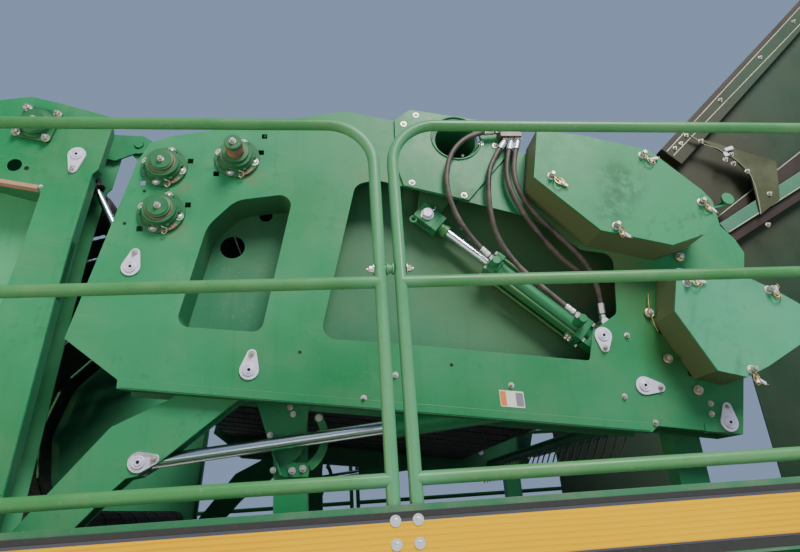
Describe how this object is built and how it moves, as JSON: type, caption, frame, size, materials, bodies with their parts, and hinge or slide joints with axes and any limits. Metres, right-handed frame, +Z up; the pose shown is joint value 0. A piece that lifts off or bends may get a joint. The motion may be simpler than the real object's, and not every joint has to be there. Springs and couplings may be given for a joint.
{
  "type": "cotton stripper round bale builder section",
  "caption": "Bale builder section with belts and rollers between side walls, lifting rear gate, bale cradle, chain covers, feed hood, walkways and guard rails.",
  "frame": {"origin": "centre of the mounting pads' bolt pattern, on the pads' underside", "axes": "+X towards the front of the machine, +Y to its left, +Z up"},
  "size_m": [5, 4.0286, 2.955],
  "materials": {
    "green_paint": "glossy farm-machine green over steel, dusty",
    "rail_green": "worn green paint on steel tube",
    "cover_green": "faded green paint with dirt blotches",
    "hood_green": "shaded green sheet, dusty",
    "green_cast": "green paint over rough casting",
    "yellow_strip": "yellow safety strip with fine bands",
    "dark_steel": "dark worn steel",
    "black_rubber": "matte black belt with cross ribs",
    "hose_rubber": "dusty black hydraulic hose",
    "chrome_rod": "polished chrome",
    "zinc_plate": "bright zinc plating"
  },
  "bodies": {
    "frame": {"frame_rails": "green_paint", "cross_beams": "green_paint", "walkways": "green_paint", "edge_strips": "yellow_strip", "guard_rails_rear": "rail_green", "guard_rails_front": "rail_green", "skin_right": "green_paint", "skin_left": "green_paint", "lips_right": "green_paint", "lips_left": "green_paint", "window_rims": "green_paint", "walls": "green_paint", "pivot_plates": "green_paint", "posts": "green_paint", "cross_tubes": "green_paint", "top_sheet": "green_paint", "front_rollers": "dark_steel", "front_belts": "black_rubber", "bearings": "green_cast", "torsion_tube": "green_paint", "tension_rods": "chrome_rod", "tension_barrels": "green_paint", "pins": "zinc_plate", "manifold": "zinc_plate", "wall_ports": "zinc_plate", "hose_loop": "hose_rubber", "hose_base": "hose_rubber", "hose_front": "hose_rubber", "hose_down": "hose_rubber", "sprockets": "dark_steel", "chains": "dark_steel", "cover_studs": "zinc_plate", "hood_sides": "hood_green", "hood_beams": "green_paint", "hood_brackets": "hood_green", "hood_roof": "hood_green", "hinge_ears": "green_paint", "guides": "green_paint"},
    "upper_cover": {"cover_upper": "cover_green"},
    "lower_cover": {"cover_lower": "cover_green"},
    "gate": {"gate_ears": "green_paint", "gate_skins": "green_paint", "gate_walls": "green_paint", "gate_rims": "green_paint", "gate_tubes": "green_paint", "gate_rollers": "dark_steel", "gate_belts": "black_rubber", "gate_bearings": "green_cast", "gate_plates": "zinc_plate"},
    "gate_cylinders": {"gate_barrels": "green_paint"},
    "gate_cylinder_rods": {"gate_rods": "chrome_rod"},
    "cradle": {"cradle_arms": "green_paint", "cradle_pins": "zinc_plate", "cradle_bed": "green_paint"},
    "cradle_cylinders": {"ram_barrels": "green_paint"},
    "cradle_cylinder_rods": {"ram_rods": "chrome_rod"}
  },
  "joints": [
    {"name": "gate_lift", "type": "hinge", "parent": "frame", "child": "gate", "pos_m": [-1.2, 0, 1.93], "axis": [0, 1, 0], "range_deg": [0, 60]},
    {"name": "gate_cylinder_swing", "type": "hinge", "parent": "gate", "child": "gate_cylinders", "pos_m": [-1.382, 0, 1.79], "axis": [0, 1, 0], "range_deg": [-55.7, 0]},
    {"name": "gate_rod_slide", "type": "slide", "parent": "gate_cylinders", "child": "gate_cylinder_rods", "axis": [0.4589, 0, -0.8885], "range_m": [0, 0.225]},
    {"name": "cradle_lift", "type": "hinge", "parent": "frame", "child": "cradle", "pos_m": [-0.693, 0, 0.9], "axis": [0, 1, 0], "range_deg": [-40, 0]},
    {"name": "cradle_cylinder_swing", "type": "hinge", "parent": "frame", "child": "cradle_cylinders", "pos_m": [0.752, 0, 0.779], "axis": [0, 1, 0], "range_deg": [-7.34, 0]},
    {"name": "cradle_rod_slide", "type": "slide", "parent": "cradle_cylinders", "child": "cradle_cylinder_rods", "axis": [-0.9959, 0, -0.0906], "range_m": [-0.2449, 0]},
    {"name": "upper_cover_slide", "type": "slide", "parent": "frame", "child": "upper_cover", "axis": [0, -1, 0], "range_m": [0, 0.2]},
    {"name": "lower_cover_slide", "type": "slide", "parent": "frame", "child": "lower_cover", "axis": [0, -1, 0], "range_m": [0, 0.2]}
  ],
  "couplings": [
    {"joint": "gate_cylinder_swing", "follows": "gate_lift", "ratio": -0.90326},
    {"joint": "gate_rod_slide", "follows": "gate_lift", "m_per_rad": 0.21013},
    {"joint": "cradle_cylinder_swing", "follows": "cradle_lift", "ratio": 0.17091},
    {"joint": "cradle_rod_slide", "follows": "cradle_lift", "m_per_rad": 0.3436}
  ]
}
